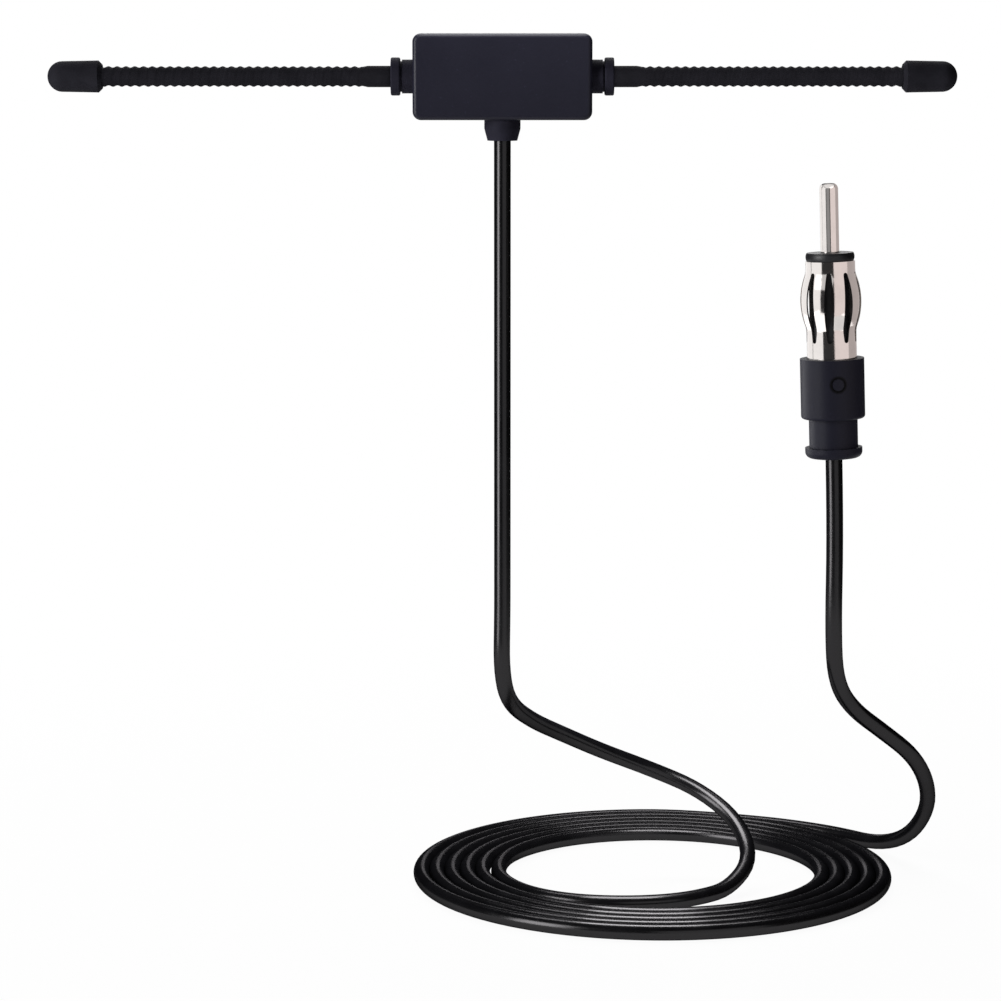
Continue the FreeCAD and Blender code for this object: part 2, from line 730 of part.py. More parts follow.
def make_plug_pin():
    """Centre pin with a rounded, dimpled tip, its shank held by a head under the insulator's stem."""
    body = new_plug_body("plug_pin")
    tip = f"{PIN_BASE} + pin_rise"
    half_way = math.sqrt(0.5)
    over_tip = (f"pin_radius - pin_tip_round + pin_tip_round * {half_way}",
                f"{tip} - pin_tip_round + pin_tip_round * {half_way}")
    bore = "core_wire_radius + fit_gap"
    profile = [
        (bore, PIN_TAIL),
        ("pin_head_radius", PIN_TAIL),
        ("pin_head_radius", STEM_END),
        ("pin_shank_radius", STEM_END),
        ("pin_shank_radius", PIN_BASE),
        ("pin_radius", PIN_BASE),
        ("pin_radius", f"{tip} - pin_tip_round", over_tip),
        ("pin_radius - pin_tip_round", tip),
        ("pin_dimple_radius", tip),
        ("0", f"{tip} - pin_dimple_depth"),
        ("0", f"{PIN_TAIL} + pin_bore_depth"),
        (bore, f"{PIN_TAIL} + pin_bore_depth"),
    ]
    turn(body, "turned_pin", new_sketch(body, "profile", "XZ_Plane", [profile]), "Z_Axis")


def make_plug_ferrule():
    """Bush that joins the sleeve's foot to the lead's braid."""
    body = new_plug_body("plug_ferrule")
    flange = f"{SLEEVE_BORE} - fit_gap"
    profile = [(CABLE_BORE, f"{SEAT} - ferrule_length"), ("ferrule_radius", f"{SEAT} - ferrule_length"),
               ("ferrule_radius", SEAT), (flange, SEAT), (flange, FERRULE_TOP), (CABLE_BORE, FERRULE_TOP)]
    turn(body, "bush", new_sketch(body, "profile", "XZ_Plane", [profile]), "Z_Axis")


def make_plug_cable_tail():
    """End of the lead in the plug: jacket through the ferrule, dielectric, and core into the pin."""
    body = new_plug_body("plug_cable_tail")
    dielectric_end = f"{PIN_TAIL} - fit_gap"
    core_end = f"{PIN_TAIL} + pin_bore_depth - fit_gap"
    profile = [("0", "0"), ("cable_radius", "0"), ("cable_radius", FERRULE_TOP),
               ("dielectric_radius", FERRULE_TOP), ("dielectric_radius", dielectric_end),
               ("core_wire_radius", dielectric_end), ("core_wire_radius", core_end), ("0", core_end)]
    turn(body, "stripped_end", new_sketch(body, "profile", "XZ_Plane", [profile]), "Z_Axis")


def make_tube(label, route, radius):
    """A round tube along straight runs joined by arcs as large as the runs allow."""
    edges = []
    length = 0.0
    bends = []
    here = route[0]
    for before, corner, after in zip(route, route[1:], route[2:]):
        to_before, to_after = before - corner, after - corner
        turn_angle = math.pi - to_before.getAngle(to_after)
        tangent = 0.45 * min(to_before.Length, to_after.Length)
        bend = tangent / math.tan(turn_angle / 2)
        bends.append(bend)
        first = corner + to_before.normalize() * tangent
        last = corner + to_after.normalize() * tangent
        inward = (to_before + to_after).normalize()
        middle = corner + inward * (bend / math.cos(turn_angle / 2) - bend)
        edges += [Part.LineSegment(here, first).toShape(), Part.Arc(first, middle, last).toShape()]
        length += here.distanceToPoint(first) + bend * turn_angle
        here = last
    edges.append(Part.LineSegment(here, route[-1]).toShape())
    length += here.distanceToPoint(route[-1])
    ring = Part.Wire(Part.Circle(route[0], route[1] - route[0], radius).toShape())
    solid = Part.Wire(edges).makePipeShell([ring], True, False)
    expected = math.pi * radius ** 2 * length
    print(f"{label}: length {length:.1f}, bend radii {', '.join(f'{bend:.1f}' for bend in bends)}")
    if abs(solid.Volume / expected - 1) > 0.005:
        raise RuntimeError(f"{label}: volume {solid.Volume:.1f}, expected {expected:.1f}")
    tube = node(doc.addObject("Part::Feature", label), label)
    tube.Shape = solid


def make_board_wires():
    """Core wire and braid pigtail, each bent back from the stripped lead to the board."""
    axis, board = number(AXIS_Y), number(f"{AXIS_Y} + {BOARD}")
    wires = (("core_wire", "core_wire_radius", 0.0, STRIP_END),
             ("braid_pigtail", "braid_radius", -number("braid_offset"), JACKET_END))
    for label, radius, across, start in wires:
        low = number(start)
        high = low + number("wire_rise")
        route = [Vector(across, axis, low), Vector(across, axis, high), Vector(across, board, high)]
        make_tube(label, route, number(radius))


def cord_routes():
    """The free lead's route: down from the gland into the coil, and up from the coil to the plug."""
    axis = number(AXIS_Y)
    on_floor = number("cable_radius - floor_drop")
    plug, plug_y, foot = number("plug_across"), number(PLUG_Y), -number("plug_drop")
    lean = math.radians(number("plug_lean"))
    below = 14.0
    down = [
        (0, axis, number(STRAIN_MOUTH)), (0, axis, -104.0), (-0.2, axis, -114.8), (1.2, -0.8, -122.2),
        (6.0, 11.2, -128.2), (12.0, 25.6, -133.8), (20.6, 38.4, -140.2), (31.0, 45.4, -145.5),
        (41.4, 43.8, -149.6), (49.2, 37.0, -154.8), (51.6, 28.6, -161.0), (46.4, 20.8, -165.2),
        (40.0, 14.6, on_floor), (33.0, 10.9, on_floor), (24.4, 9.9, on_floor), (15.6, 11.9, on_floor),
        (8.0, 16.6, on_floor), (2.5, 23.5, on_floor), (-0.5, 32.0, on_floor), (-0.7, 40.8, on_floor),
    ]
    rise = [
        (57.1, 79.5, on_floor), (65.6, 74.7, on_floor), (73.8, 68.6, on_floor), (81.2, 59.2, -165.2),
        (86.2, 47.0, -160.6), (88.6, 35.6, -152.2), (87.0, 24.2, -143.7), (82.6, 13.6, -135.7),
        (75.4, 4.0, -128.9), (68.2, -5.2, -122.4), (64.2, -13.2, -115.6), (63.1, plug_y, -105.4),
        (plug + below * math.sin(lean), plug_y, foot - below * math.cos(lean)), (plug, plug_y, foot),
    ]
    return [[Vector(*point) for point in route] for route in (down, rise)]


def make_cable_coil(start, start_way, finish, finish_way):
    """The flat coil as one ring whose two edges are spirals, stepped where the lead enters and leaves."""
    centre = Vector(number("coil_across"), number("coil_back"), start.z)
    reach = number("cable_radius")
    first, last = start - centre, finish - centre
    start_angle = math.atan2(first.y, first.x)
    part_turn = (start_angle - math.atan2(last.y, last.x)) / (2 * math.pi) % 1
    turns = number("coil_full_turns") + part_turn
    pitch = (last.Length - first.Length) / turns

    def on_spiral(turn_count, offset):
        angle = start_angle - 2 * math.pi * turn_count
        radius = first.Length + pitch * turn_count + offset
        return centre + Vector(radius * math.cos(angle), radius * math.sin(angle), 0)

    def step(point, way):
        inward = Vector(way.y, -way.x, 0).normalize() * reach
        return point + inward, point - inward

    def edge_wire(inner_turn, offset, ends):
        spots = [on_spiral(inner_turn + quarter / 4, offset) for quarter in (1, 2, 3)]
        return Part.Wire([Part.Arc(ends[0], spots[0], spots[1]).toShape(),
                          Part.Arc(spots[1], spots[2], ends[1]).toShape(),
                          Part.LineSegment(ends[1], ends[0]).toShape()])

    hole = edge_wire(0, -reach, step(start, start_way))
    rim = edge_wire(turns - 1, reach, step(finish, finish_way))
    ring = Part.Face([rim, hole], "Part::FaceMakerBullseye")
    print(f"cable_coil: {turns:.2f} turns, pitch {pitch:.3f}")
    coil = node(doc.addObject("Part::Feature", "cable_coil"), "cable_coil")
    ring.translate(Vector(0, 0, -reach))
    coil.Shape = ring.extrude(Vector(0, 0, 2 * reach))


def make_cords():
    """The lead's three stretches, meeting face to face."""
    down, rise = cord_routes()
    radius = number("cable_radius")
    make_tube("downlead_cable", down, radius)
    make_tube("plug_lead_cable", rise, radius)
    make_cable_coil(down[-1], down[-1] - down[-2], rise[0], rise[1] - rise[0])


def check_and_write():
    """Stops on any failed object, then writes one file for each sub-part."""
    doc.recompute()
    for item in doc.Objects:
        if "Invalid" in item.State or "Error" in item.State:
            raise RuntimeError(f"{item.Label} failed: {item.State}")
    for item in nodes:
        if item.Shape.isNull() or not item.Shape.isValid() or not item.Shape.Volume:
            raise RuntimeError(f"{item.Label} has no valid shape")
    os.makedirs("parts", exist_ok=True)
    for item in nodes:
        item.Shape.exportStep(f"parts/{item.Label}.step")


make_front_cover()
make_rear_cover()
make_adhesive_pad()
make_circuit_board()
make_balun()
make_chip_capacitors()
for name, side in (("left", -1), ("right", 1)):
    make_solder_lug(name, side)
    make_arm_gland(name, side)
    make_arm_sheath(name, side)
    make_arm_conductor(name, side)
    make_end_cap(name, side)
make_cable_gland()
make_cable_tail()
make_board_wires()
make_plug_boot()
make_plug_sleeve()
make_plug_insulator()
make_plug_pin()
make_plug_ferrule()
make_plug_cable_tail()
make_cords()
check_and_write()
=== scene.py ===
"""Looks of a windshield radio antenna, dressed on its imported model.

Metres, in the model's frame: +X along the right arm, +Y into the glass, +Z up.
"""

import json
import math

import bmesh
import bpy
from bpy.props import FloatProperty, FloatVectorProperty, IntProperty, PointerProperty
from mathutils import Matrix, Vector

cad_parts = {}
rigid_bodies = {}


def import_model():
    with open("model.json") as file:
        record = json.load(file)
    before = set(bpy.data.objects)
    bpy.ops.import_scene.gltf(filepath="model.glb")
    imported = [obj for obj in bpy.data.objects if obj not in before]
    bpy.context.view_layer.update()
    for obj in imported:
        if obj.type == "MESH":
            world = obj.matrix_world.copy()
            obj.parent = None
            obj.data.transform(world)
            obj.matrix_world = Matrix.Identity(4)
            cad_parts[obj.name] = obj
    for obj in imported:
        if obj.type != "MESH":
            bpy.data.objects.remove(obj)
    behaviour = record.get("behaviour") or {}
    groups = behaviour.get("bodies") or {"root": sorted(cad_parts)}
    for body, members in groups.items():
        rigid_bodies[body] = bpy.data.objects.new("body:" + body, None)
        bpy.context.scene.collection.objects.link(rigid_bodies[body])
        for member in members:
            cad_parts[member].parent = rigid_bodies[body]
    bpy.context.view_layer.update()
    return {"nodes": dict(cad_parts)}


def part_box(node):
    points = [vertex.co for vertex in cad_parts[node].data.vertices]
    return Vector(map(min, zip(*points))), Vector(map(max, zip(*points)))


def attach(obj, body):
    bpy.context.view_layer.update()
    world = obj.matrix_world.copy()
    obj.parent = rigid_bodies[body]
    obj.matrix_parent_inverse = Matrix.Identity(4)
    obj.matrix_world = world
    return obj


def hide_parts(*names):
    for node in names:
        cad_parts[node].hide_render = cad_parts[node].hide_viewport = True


bl_info = {
    "name": "Windshield antenna looks",
    "version": (1, 0, 0),
    "blender": (4, 5, 0),
    "location": "View3D > Sidebar > Antenna",
    "description": "Lays the lead, ribs the arms and gives every piece its finish",
    "category": "Object",
}

MM = 0.001

for left_over in list(bpy.data.objects):
    bpy.data.objects.remove(left_over)

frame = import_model()
NODES = frame["nodes"]
COIL_LOW, COIL_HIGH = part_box("cable_coil")
SHEATH_LOW, SHEATH_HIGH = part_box("right_arm_sheath")
GLAND_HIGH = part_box("right_arm_gland")[1]
HOUSING_LOW, HOUSING_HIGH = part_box("front_cover")
STRAIN_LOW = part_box("cable_gland")[0]
PIN_LOW, PIN_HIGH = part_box("plug_pin")
CABLE_DIAMETER = COIL_HIGH.z - COIL_LOW.z
COIL_MIDDLE = (COIL_LOW + COIL_HIGH) / 2
ARM_AXIS_Y = (SHEATH_LOW.y + SHEATH_HIGH.y) / 2
PLUG_X = (PIN_LOW.x + PIN_HIGH.x) / 2
PLUG_Y = (PIN_LOW.y + PIN_HIGH.y) / 2

# The lead's route in millimetres, close to that of its solids: down into the coil, and up to the plug.
MOUTH = STRAIN_LOW.z / MM
ARM_Y = ARM_AXIS_Y / MM
PIN_Y = PLUG_Y / MM
FLAT = (COIL_LOW.z + CABLE_DIAMETER / 2) / MM
DOWN_ROUTE = (
    (0.0, ARM_Y, MOUTH), (0.0, ARM_Y, -93.2), (0.0, ARM_Y, -104.0), (-0.2, ARM_Y, -114.8),
    (1.2, -0.8, -122.2), (6.0, 11.2, -128.2), (12.0, 25.6, -133.8), (20.6, 38.4, -140.2),
    (31.0, 45.4, -145.5), (41.4, 43.8, -149.6), (49.2, 37.0, -154.8), (51.6, 28.6, -161.0),
    (46.4, 20.8, -165.2), (40.0, 14.6, FLAT), (33.0, 10.9, FLAT), (24.4, 9.6, FLAT),
    (15.0, 11.0, FLAT), (7.0, 15.8, FLAT), (1.85, 23.2, FLAT), (-0.8, 31.9, FLAT), (-0.7, 40.8, FLAT),
)
RISE_ROUTE = (
    (57.0, 79.3, FLAT), (65.6, 74.7, FLAT), (73.8, 68.6, FLAT), (81.2, 59.2, -165.2),
    (86.2, 47.0, -160.6), (88.6, 35.6, -152.2), (87.0, 24.2, -143.7), (82.6, 13.6, -135.7),
    (75.4, 4.0, -128.9), (68.2, -5.2, -122.4), (64.2, -13.2, -115.6), (63.1, PIN_Y, -105.4),
    (63.26, PIN_Y, -85.39), (62.8, PIN_Y, -71.4),
)

# Edges of the new meshes that turn by more than this stay sharp.
SHARP_TURN = math.radians(40)

# What the lamps are aimed at, the pieces that some of them light or spare, and their two colours.
ROOM_MIDDLE = Vector((0.02, 0.0, -0.08))
SLEEVE_MIDDLE = Vector((PLUG_X, PLUG_Y, PIN_LOW.z))
METAL = ("plug_sleeve", "plug_pin")
SHEATHS = ("left_ribbed_sheath", "right_ribbed_sheath")
NEUTRAL = (1.0, 1.0, 1.0)
WARM = (1.0, 0.9, 0.88)


def length_property(name, description, default):
    """A size in metres that a user may change."""
    return FloatProperty(name=name, description=description, default=default, unit="LENGTH", precision=5)


def colour_property(name, description, default):
    """A linear colour that a user may change."""
    return FloatVectorProperty(
        name=name, description=description, default=default, subtype="COLOR", size=3, min=0.0, max=1.0
    )


def light_property(name, description, default):
    """A brightness that a user may change, where 1 is a white surface."""
    return FloatProperty(name=name, description=description, default=default, min=0.0)


class AntennaLeadSettings(bpy.types.PropertyGroup):
    """Lie of the coaxial lead."""

    coil_centre: FloatVectorProperty(
        name="Coil centre", description="Middle of the flat coil on the floor", size=2,
        default=(32.0 * MM, 36.0 * MM), subtype="TRANSLATION", unit="LENGTH",
    )
    full_turns: IntProperty(name="Full turns", description="Whole turns in the coil", default=5, min=1)
    points_per_turn: IntProperty(
        name="Points per turn", description="Curve points on each turn of the coil", default=24, min=12
    )
    length: length_property("Length", "Length of the lead from gland to plug", 1.85)
    roundness: IntProperty(
        name="Roundness", description="How finely the lead's section is rounded", default=16, min=2
    )
    steps_per_point: IntProperty(
        name="Steps per point", description="Steps from one curve point to the next", default=5, min=1
    )


class AntennaArmSettings(bpy.types.PropertyGroup):
    """Ribbing of the two bendable arms."""

    plain_radius: length_property("Plain radius", "Radius of the smooth root of the sheath", 2.02 * MM)
    rib_radius: length_property("Rib radius", "Radius of the ribbed sheath's round section", 1.82 * MM)
    rib_swing: length_property("Rib swing", "How far the section swings round the axis", 0.13 * MM)
    rib_pitch: length_property("Rib pitch", "Distance from one rib to the next", 1.67 * MM)
    plain_length: length_property("Plain length", "Smooth length outside the gland", 5.2 * MM)
    bore_radius: length_property("Bore radius", "Radius of the hole for the conductor", 0.9 * MM)
    segments: IntProperty(name="Segments", description="Points round the sheath", default=48, min=12)
    steps_per_rib: IntProperty(name="Steps per rib", description="Rings on each rib", default=14, min=6)


class AntennaPlugSettings(bpy.types.PropertyGroup):
    """Painted shade along the sunk ring on the plug's grip."""

    ring_centre: FloatVectorProperty(
        name="Ring centre", description="Middle of the sunk ring", size=3, subtype="TRANSLATION",
        unit="LENGTH", default=(62.86 * MM, -23.45 * MM, -57.04 * MM),
    )
    ring_radius: length_property("Ring radius", "From the ring's middle to its groove", 1.37 * MM)
    ring_reach: length_property("Ring reach", "How far the groove's shade spreads", 0.42 * MM)


class AntennaFinishSettings(bpy.types.PropertyGroup):
    """Colours of the finishes."""

    housing: colour_property("Housing", "Moulded housing", (0.0090, 0.0088, 0.0170))
    gland: colour_property("Glands", "Rubber glands", (0.0175, 0.0168, 0.0255))
    arm: colour_property("Arms", "Ribbed sheath", (0.0140, 0.0135, 0.0170))
    cap: colour_property("Caps", "End caps", (0.0152, 0.0148, 0.0190))
    jacket: colour_property("Lead", "Jacket of the lead", (0.0022, 0.0022, 0.0027))
    boot: colour_property("Plug grip", "Moulded grip of the plug", (0.0078, 0.0078, 0.0130))
    insulator: colour_property("Insulator", "Disc under the pin", (0.009, 0.009, 0.011))
    nickel: colour_property("Nickel", "Polished plating of sleeve and pin", (0.66, 0.625, 0.605))
    foam: colour_property("Foam", "Adhesive pad", (0.03, 0.03, 0.032))
    conductor: colour_property("Conductors", "Bendable wires in the arms", (0.72, 0.72, 0.73))
    brass: colour_property("Brass", "Tinned ferrule and lugs", (0.6, 0.58, 0.53))
    laminate: colour_property("Board", "Circuit board", (0.02, 0.11, 0.05))
    ferrite: colour_property("Ferrite", "Core of the balun", (0.03, 0.03, 0.032))
    copper: colour_property("Copper", "Winding, core wire and braid", (0.62, 0.27, 0.15))
    ceramic: colour_property("Ceramic", "Chip capacitors", (0.3, 0.22, 0.15))


class AntennaStageSettings(bpy.types.PropertyGroup):
    """Camera, floor and lights."""

    camera_place: FloatVectorProperty(
        name="Camera", description="Where the camera stands", size=3, subtype="TRANSLATION",
        unit="LENGTH", default=(-0.36 * MM, -655.5 * MM, 10.0 * MM),
    )
    camera_dip: FloatProperty(
        name="Dip", description="How far the camera looks down", subtype="ANGLE",
        default=math.radians(8.0),
    )
    lens: FloatProperty(name="Lens", description="Focal length in millimetres", default=122.1, min=1.0)
    floor_size: length_property("Floor", "Width of the floor", 0.6)
    shadow_share: FloatProperty(
        name="Shadow", description="How much of the floor's own shading shows", default=0.05,
        min=0.0, max=1.0,
    )
    shadow_reach: length_property("Shadow reach", "How far from the coil the floor's shading shows", 0.3)
    back_light: light_property("Back light", "Panel above and behind the part", 10.0)
    arm_light: light_property("Arm light", "Panel before the arms", 4.4)
    left_light: light_property("Left light", "Panel on the left", 10.0)
    right_light: light_property("Right light", "Panel on the right", 0.8)
    rear_light: light_property("Rear light", "Panel far behind the part", 3.5)
    strip_light: light_property("Strip light", "Strip over the housing's front edge", 8.0)
    coil_light: light_property("Coil light", "Card over the coil", 18.0)
    low_light: light_property("Low light", "Low card behind the coil", 21.6)
    card_light: light_property("Cards", "Cards round the plug", 1.1)


class Socket:
    """A shader output that takes part in Python sums by adding Math nodes."""

    def __init__(self, shader, output):
        self.shader = shader
        self.output = output

    def maths(self, operation, first, second):
        return self.shader.add("ShaderNodeMath", {"operation": operation}, {0: first, 1: second})

    def __add__(self, other):
        return self.maths("ADD", self, other)

    def __radd__(self, other):
        return self.maths("ADD", other, self)

    def __sub__(self, other):
        return self.maths("SUBTRACT", self, other)

    def __rsub__(self, other):
        return self.maths("SUBTRACT", other, self)

    def __mul__(self, other):
        return self.maths("MULTIPLY", self, other)

    def __rmul__(self, other):
        return self.maths("MULTIPLY", other, self)

    def at_least(self, other):
        return self.maths("MAXIMUM", self, other)

    def size(self):
        return self.maths("ABSOLUTE", self, 0.0)


class Shader:
    """A node tree that is written as expressions."""

    def __init__(self, tree):
        self.tree = tree
        self.tree.nodes.clear()

    def new_node(self, kind, settings=None, sockets=None):
        """Adds a node, sets it up, then fills or links its sockets."""
        node = self.tree.nodes.new(kind)
        for name, value in (settings or {}).items():
            setattr(node, name, value)
        for name, value in (sockets or {}).items():
            if isinstance(value, Socket):
                self.tree.links.new(value.output, node.inputs[name])
            else:
                node.inputs[name].default_value = value
        return node

    def add(self, kind, settings=None, sockets=None, output=0):
        """Adds a node and returns one of its outputs."""
        return Socket(self, self.new_node(kind, settings, sockets).outputs[output])

    def place(self, scale=(1.0, 1.0, 1.0)):
        """Object coordinates, stretched by scale."""
        place = self.add("ShaderNodeTexCoord", output="Object")
        return self.add("ShaderNodeMapping", sockets={"Vector": place, "Scale": scale})

    def distance(self, point):
        """How far a place on the piece is from a point."""
        place = self.add("ShaderNodeTexCoord", output="Object")
        return self.add(
            "ShaderNodeVectorMath", {"operation": "DISTANCE"}, {0: place, 1: point}, output="Value",
        )

    def noise(self, per_metre, detail=2.0, roughness=0.5, scale=(1.0, 1.0, 1.0)):
        """Cloudy values about a half, with so many blobs to the metre."""
        return self.add(
            "ShaderNodeTexNoise", {"noise_dimensions": "3D"},
            {"Vector": self.place(scale), "Scale": per_metre, "Detail": detail, "Roughness": roughness},
        )

    def spread(self, value, low, high):
        """Stretches the part of a value between low and high to the range from 0 to 1."""
        return self.add(
            "ShaderNodeMapRange", {"clamp": True}, {"Value": value, "From Min": low, "From Max": high}
        )

    def blend(self, share, first, second):
        """A colour between two others."""
        return self.add(
            "ShaderNodeMix", {"data_type": "RGBA"}, {"Factor": share, 6: first, 7: second}, output=2
        )

    def bump(self, height, depth, strength=1.0):
        """A surface normal moved by a height of so many metres."""
        return self.add(
            "ShaderNodeBump", sockets={"Height": height, "Distance": depth, "Strength": strength},
        )

    def finish(self, surface, kind="ShaderNodeOutputMaterial"):
        """Ends the tree with its surface."""
        self.new_node(kind, sockets={"Surface": surface})


def new_material(name):
    """A material and the shader that writes its nodes."""
    material = bpy.data.materials.new(name)
    material.use_nodes = True
    return material, Shader(material.node_tree)


def tone(colour, level):
    """A colour made lighter or darker, with its alpha."""
    return (*(min(1.0, part * level) for part in colour), 1.0)


def moulded_plastic(name, colour, roughness, shine, grain=0.012 * MM, sunk_ring=None):
    """Matt moulded plastic: fine grain, drifts of tone, a little dust, and painted shade along a sunk
    ring.
    """
    material, shader = new_material(name)
    drift = shader.noise(per_metre=90.0, detail=3.0)
    grit = shader.noise(per_metre=5200.0, detail=1.0)
    speck = shader.spread(shader.noise(per_metre=1900.0, detail=1.0), low=0.72, high=0.78)
    base = shader.blend(drift, tone(colour, 0.88), tone(colour, 1.14))
    dust_and_groove_shade = shader.blend(speck * 0.25, base, tone(colour, 3.0))
    # Painted shade: the colour darkens along the sunk ring's groove, where shade falls.
    if sunk_ring:
        beside = (shader.distance(sunk_ring.ring_centre) - sunk_ring.ring_radius).size()
        groove_painted_shade = shader.spread(beside, low=sunk_ring.ring_reach, high=sunk_ring.ring_reach / 3)
        dust_and_groove_shade = shader.blend(groove_painted_shade, dust_and_groove_shade, tone(colour, 0.2))
    sheen = roughness + 0.14 * (drift - 0.5) + 0.1 * (grit - 0.5)
    surface = shader.add("ShaderNodeBsdfPrincipled", sockets={
        "Base Color": dust_and_groove_shade, "Roughness": sheen, "Specular IOR Level": shine,
        "Normal": shader.bump(grit, grain),
    })
    shader.finish(surface)
    return material


def soft_rubber(name, colour, roughness=0.65, shine=0.03, grain=0.006 * MM):
    """Moulded rubber: dull, a touch uneven, with paler bloom in patches."""
    material, shader = new_material(name)
    bloom = shader.spread(shader.noise(per_metre=260.0, detail=4.0, roughness=0.6), low=0.35, high=0.75)
    pores = shader.noise(per_metre=3600.0)
    base = shader.blend(bloom, tone(colour, 0.85), tone(colour, 1.25))
    surface = shader.add("ShaderNodeBsdfPrincipled", sockets={
        "Base Color": base, "Roughness": roughness + 0.12 * (pores - 0.5) - 0.06 * bloom,
        "Specular IOR Level": shine, "Normal": shader.bump(pores, grain),
    })
    shader.finish(surface)
    return material


def lead_jacket(name, colour, shine=0.03):
    """Extruded jacket: an even thin gloss over matt black, with a fine grain and faint rubbed patches."""
    material, shader = new_material(name)
    grain = shader.noise(per_metre=4200.0)
    rubbed = shader.spread(shader.noise(per_metre=140.0, detail=3.0), low=0.4, high=0.7)
    waver = shader.noise(per_metre=420.0, detail=1.0)
    base = shader.blend(rubbed, tone(colour, 0.9), tone(colour, 1.35))
    dull = 0.22 + 0.06 * rubbed + 0.04 * (grain - 0.5)
    relief = shader.bump(grain + 0.5 * waver, depth=0.0003 * MM)
    matt = shader.add("ShaderNodeBsdfPrincipled", sockets={
        "Base Color": base, "Roughness": dull, "Specular IOR Level": 0.0, "Normal": relief,
    })
    gloss = shader.add("ShaderNodeBsdfPrincipled", sockets={
        "Base Color": (1.0, 0.97, 1.0, 1.0), "Metallic": 1.0, "Roughness": dull, "Normal": relief,
        "Specular Tint": (0.1, 0.1, 0.1, 1.0),
    })
    shader.finish(shader.add("ShaderNodeMixShader", sockets={0: shine, 1: matt, 2: gloss}))
    return material


def polished_nickel(name, colour):
    """Bright nickel plate with faint turning marks round the plug's axis and light tarnish."""
    material, shader = new_material(name)
    turning = shader.noise(per_metre=9000.0, scale=(0.02, 0.02, 1.0))
    tarnish = shader.spread(shader.noise(per_metre=330.0, detail=4.0, roughness=0.6), low=0.45, high=0.8)
    base = shader.blend(tarnish, (*colour, 1.0), tone(colour, 0.9))
    surface = shader.add("ShaderNodeBsdfPrincipled", sockets={
        "Base Color": base, "Metallic": 1.0,
        "Roughness": 0.1 + 0.05 * tarnish + 0.04 * (turning - 0.5),
        "Normal": shader.bump(turning, depth=0.0012 * MM),
    })
    shader.finish(surface)
    return material


def plain_metal(name, colour, roughness):
    """Metal inside the part, with a cloudy dullness."""
    material, shader = new_material(name)
    cloud = shader.noise(per_metre=900.0, detail=3.0)
    surface = shader.add("ShaderNodeBsdfPrincipled", sockets={
        "Base Color": shader.blend(cloud, tone(colour, 0.85), tone(colour, 1.1)), "Metallic": 1.0,
        "Roughness": roughness + 0.2 * (cloud - 0.5),
    })
    shader.finish(surface)
    return material


def foam_tape(name, colour):
    """Closed-cell foam with small open cells and a tacky face."""
    material, shader = new_material(name)
    cells = shader.add(
        "ShaderNodeTexVoronoi", {"feature": "F1"}, {"Vector": shader.place(), "Scale": 2600.0},
        output="Distance",
    )
    pits = shader.spread(cells, low=0.1, high=0.6)
    surface = shader.add("ShaderNodeBsdfPrincipled", sockets={
        "Base Color": shader.blend(pits, tone(colour, 0.7), tone(colour, 1.3)),
        "Roughness": 0.7 - 0.15 * pits, "Specular IOR Level": 0.3,
        "Normal": shader.bump(pits, depth=0.04 * MM, strength=0.6),
    })
    shader.finish(surface)
    return material


def dress(material, *nodes):
    """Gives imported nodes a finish."""
    for name in nodes:
        NODES[name].material_slots[0].material = material


def settle(piece, slot, *nodes):
    """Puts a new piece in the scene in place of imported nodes."""
    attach(piece, "root")
    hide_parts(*nodes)


def new_object(name, data):
    """An object at the origin, linked to the scene."""
    piece = bpy.data.objects.new(name, data)
    bpy.context.scene.collection.objects.link(piece)
    return piece


def first_ring(bm, radius, centre, segments):
    """A ring round the X axis."""
    made = bmesh.ops.create_circle(bm, segments=segments, radius=radius)
    upright = Matrix.Translation(centre) @ Matrix.Rotation(math.pi / 2, 4, "Y")
    bmesh.ops.transform(bm, matrix=upright, verts=made["verts"])
    return list(bm.edges)


def next_ring(bm, ring, shift, growth):
    """Draws a ring out to the next station and returns the new ring."""
    made = bmesh.ops.extrude_edge_only(bm, edges=ring)["geom"]
    verts = [item for item in made if isinstance(item, bmesh.types.BMVert)]
    edges = [item for item in made if isinstance(item, bmesh.types.BMEdge) and item.is_boundary]
    centre = sum((vert.co for vert in verts), Vector()) / len(verts)
    resize = Matrix.Translation(centre + shift) @ Matrix.Scale(growth, 4) @ Matrix.Translation(-centre)
    bmesh.ops.transform(bm, matrix=resize, verts=verts)
    return edges


def sheath_stations(arms):
    """Centre and radius of each ring of the right sheath, out to the cap and back along the bore."""
    axis = Vector((0.0, ARM_AXIS_Y, 0.0))
    root = SHEATH_LOW.x
    tip = SHEATH_HIGH.x
    ribs_start = GLAND_HIGH.x + arms.plain_length
    lead_in = arms.rib_pitch / 2
    stations = [(axis + Vector((root, 0, 0)), arms.plain_radius)]
    stations.append((axis + Vector((ribs_start - lead_in, 0, 0)), arms.plain_radius))
    step = arms.rib_pitch / arms.steps_per_rib
    for count in range(1, int((tip - ribs_start) / step)):
        along = ribs_start + count * step
        angle = 2 * math.pi * (along - ribs_start) / arms.rib_pitch
        swing = arms.rib_swing * min(1.0, (along - ribs_start) / lead_in)
        offset = Vector((along, swing * math.sin(angle), swing * math.cos(angle)))
        stations.append((axis + offset, arms.rib_radius))
    stations.append((axis + Vector((tip, 0, 0)), arms.rib_radius))
    stations.append((axis + Vector((tip, 0, 0)), arms.bore_radius))
    stations.append((axis + Vector((root, 0, 0)), arms.bore_radius))
    return stations


